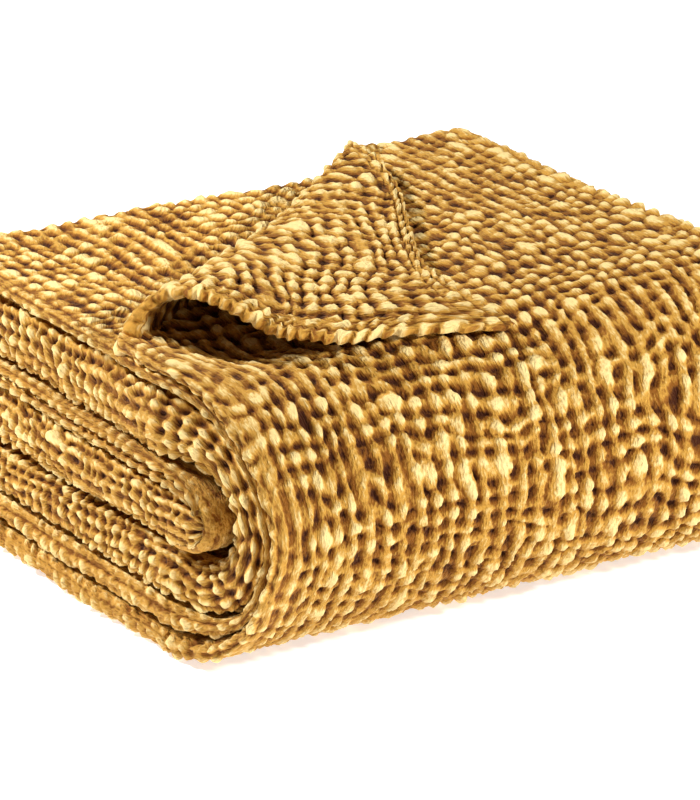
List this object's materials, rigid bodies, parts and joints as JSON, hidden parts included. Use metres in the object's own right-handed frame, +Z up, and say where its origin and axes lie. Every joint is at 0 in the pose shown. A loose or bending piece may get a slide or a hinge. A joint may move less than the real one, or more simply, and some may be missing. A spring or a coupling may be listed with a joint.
{
  "type": "folded throw blanket",
  "caption": "Honeycomb-weave cotton throw folded into a thick soft stack, with one corner of the top layer turned over.",
  "frame": {"origin": "centre of the folded stack's footprint, on the surface it rests on", "axes": "+X along the stack towards its closed right end, +Y towards the back, away from the big rounded fold, +Z up"},
  "size_m": [0.4597, 0.42, 0.231],
  "materials": {
    "honeycomb_cloth": "matt, deep honeycomb weave, mustard yellow",
    "hem_cloth": "matt, plain close weave, mustard yellow"
  },
  "bodies": {
    "root": {"outer_layer_bottom": "honeycomb_cloth", "second_layer_bottom": "honeycomb_cloth", "third_layer_bottom": "honeycomb_cloth", "inner_layer_bottom": "honeycomb_cloth", "left_end_fold_bottom": "honeycomb_cloth", "right_end_folds_bottom": "honeycomb_cloth", "side_hems_bottom": "hem_cloth", "outer_layer_front_fold": "honeycomb_cloth", "second_layer_front_fold": "honeycomb_cloth", "third_layer_front_fold": "honeycomb_cloth", "inner_layer_front_fold": "honeycomb_cloth", "left_end_fold_front": "honeycomb_cloth", "right_end_folds_front": "honeycomb_cloth", "side_hems_front": "hem_cloth", "outer_layer_back_fold": "honeycomb_cloth", "second_layer_back_fold": "honeycomb_cloth", "third_layer_back_fold": "honeycomb_cloth", "inner_layer_back_fold": "honeycomb_cloth", "left_end_fold_back": "honeycomb_cloth", "right_end_folds_back": "honeycomb_cloth", "side_hems_back": "hem_cloth", "outer_layer_middle": "honeycomb_cloth", "second_layer_middle": "honeycomb_cloth", "third_layer_middle": "honeycomb_cloth", "inner_layer_middle": "honeycomb_cloth", "left_end_fold_middle": "honeycomb_cloth", "right_end_folds_middle": "honeycomb_cloth", "side_hems_middle": "hem_cloth", "end_hems_middle": "hem_cloth", "tucked_end_roll": "honeycomb_cloth", "tucked_end_hem": "hem_cloth"},
    "top_pack": {"outer_layer_top": "honeycomb_cloth", "second_layer_top": "honeycomb_cloth", "third_layer_top": "honeycomb_cloth", "inner_layer_top": "honeycomb_cloth", "left_end_fold_top": "honeycomb_cloth", "right_end_folds_top": "honeycomb_cloth", "side_hems_top": "hem_cloth", "end_hems_top": "hem_cloth", "corner_crease_roll": "honeycomb_cloth"},
    "turned_corner": {"corner_flap": "honeycomb_cloth", "corner_side_hem": "hem_cloth", "corner_end_hem": "hem_cloth"}
  },
  "joints": [
    {"name": "top_pack_opens", "type": "hinge", "parent": "root", "child": "top_pack", "pos_m": [0, -0.1083, 0.1017], "axis": [1, 0, 0], "range_deg": [0, 180], "deforming": ["outer_layer_front_fold", "second_layer_front_fold", "third_layer_front_fold", "inner_layer_front_fold", "left_end_fold_front", "right_end_folds_front", "side_hems_front"]},
    {"name": "corner_turns_back", "type": "hinge", "parent": "top_pack", "child": "turned_corner", "pos_m": [-0.23, -0.083, 0.2037], "axis": [-0.784, -0.6208, 0], "range_deg": [0, 180], "deforming": ["corner_crease_roll"]}
  ]
}
